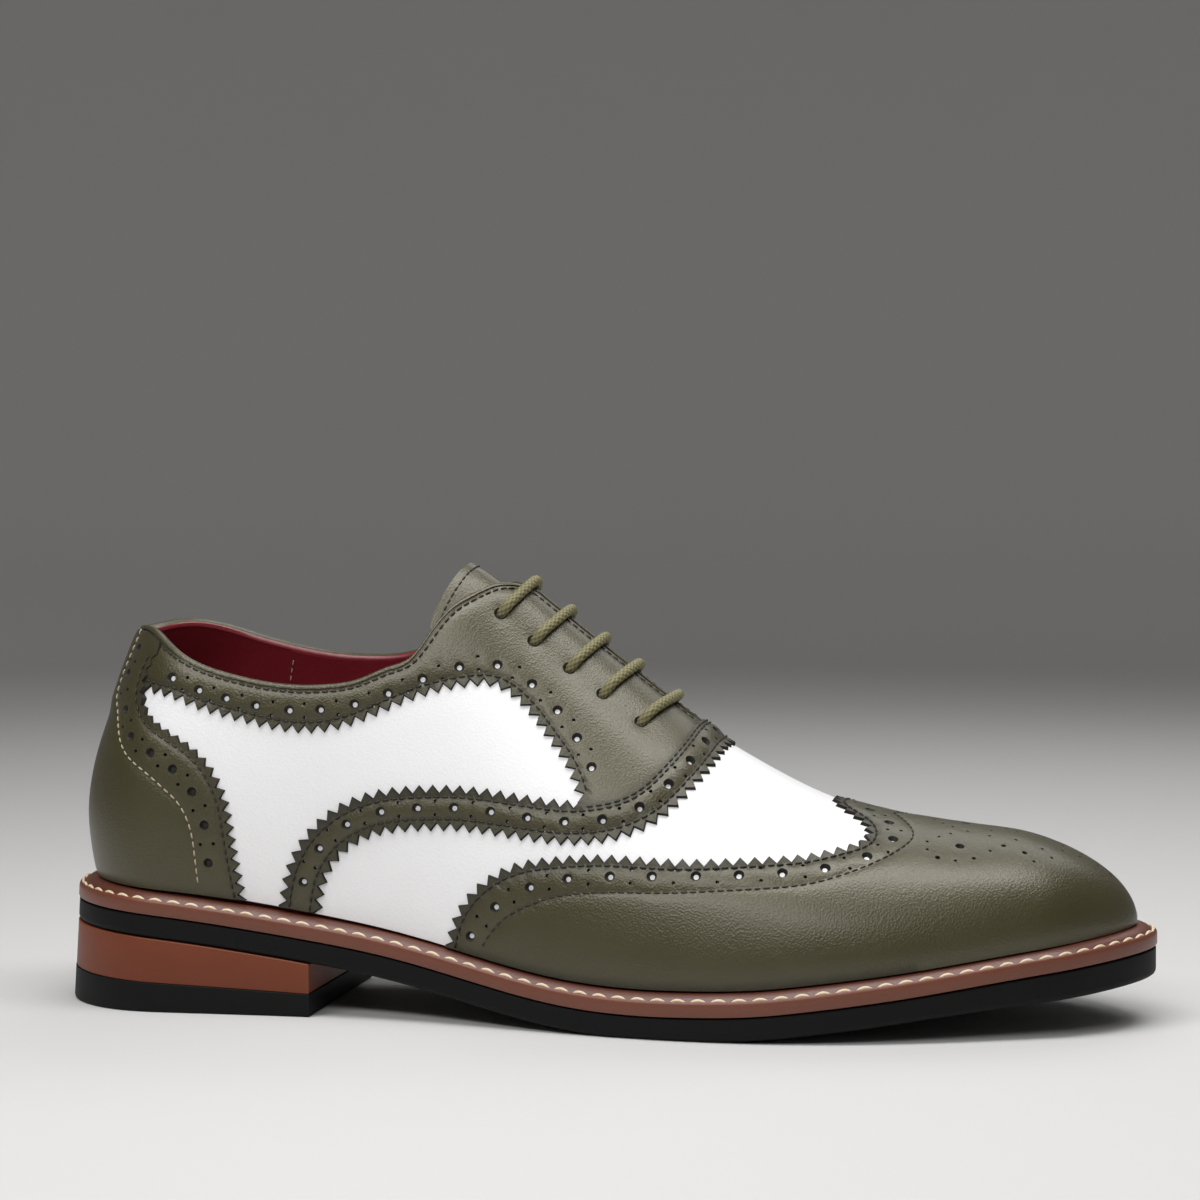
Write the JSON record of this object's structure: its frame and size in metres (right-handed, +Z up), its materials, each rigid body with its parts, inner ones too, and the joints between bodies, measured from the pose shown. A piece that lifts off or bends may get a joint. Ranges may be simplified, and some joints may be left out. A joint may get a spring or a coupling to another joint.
{
  "type": "spectator shoe",
  "caption": "Two-tone wingtip lace-up dress shoe with closed lacing, pinked overlays, stitched welt and stacked heel, standing empty.",
  "frame": {"origin": "bottom centre of the shoe's bounding box, on the floor", "axes": "+X from heel to toe, +Z up, +Y to the inner (medial) side"},
  "size_m": [0.3048, 0.1028, 0.123],
  "materials": {
    "upper_white": "smooth white leather, fine grain, satin",
    "overlay_olive": "olive green leather, fine grain, satin",
    "tongue_olive": "olive green leather, fine grain, satin",
    "insole_lining": "burgundy lining leather, matte",
    "welt_tan": "tan brown welt, satin",
    "outsole_black": "black rubber, matte",
    "heel_tan": "tan brown, matte",
    "top_lift_black": "black rubber, matte",
    "lace_olive": "round woven waxed cord"
  },
  "bodies": {
    "root": {"upper": "upper_white", "toe_cap": "overlay_olive", "side_band": "overlay_olive", "facing_lateral": "overlay_olive", "facing_medial": "overlay_olive", "heel_counter": "overlay_olive", "tongue": "tongue_olive", "insole": "insole_lining", "welt": "welt_tan", "outsole": "outsole_black", "heel_block": "heel_tan", "top_lift": "top_lift_black", "lace_bar_1": "lace_olive", "lace_bar_2": "lace_olive", "lace_bar_3": "lace_olive", "lace_bar_4": "lace_olive", "lace_bar_5": "lace_olive"}
  },
  "joints": []
}
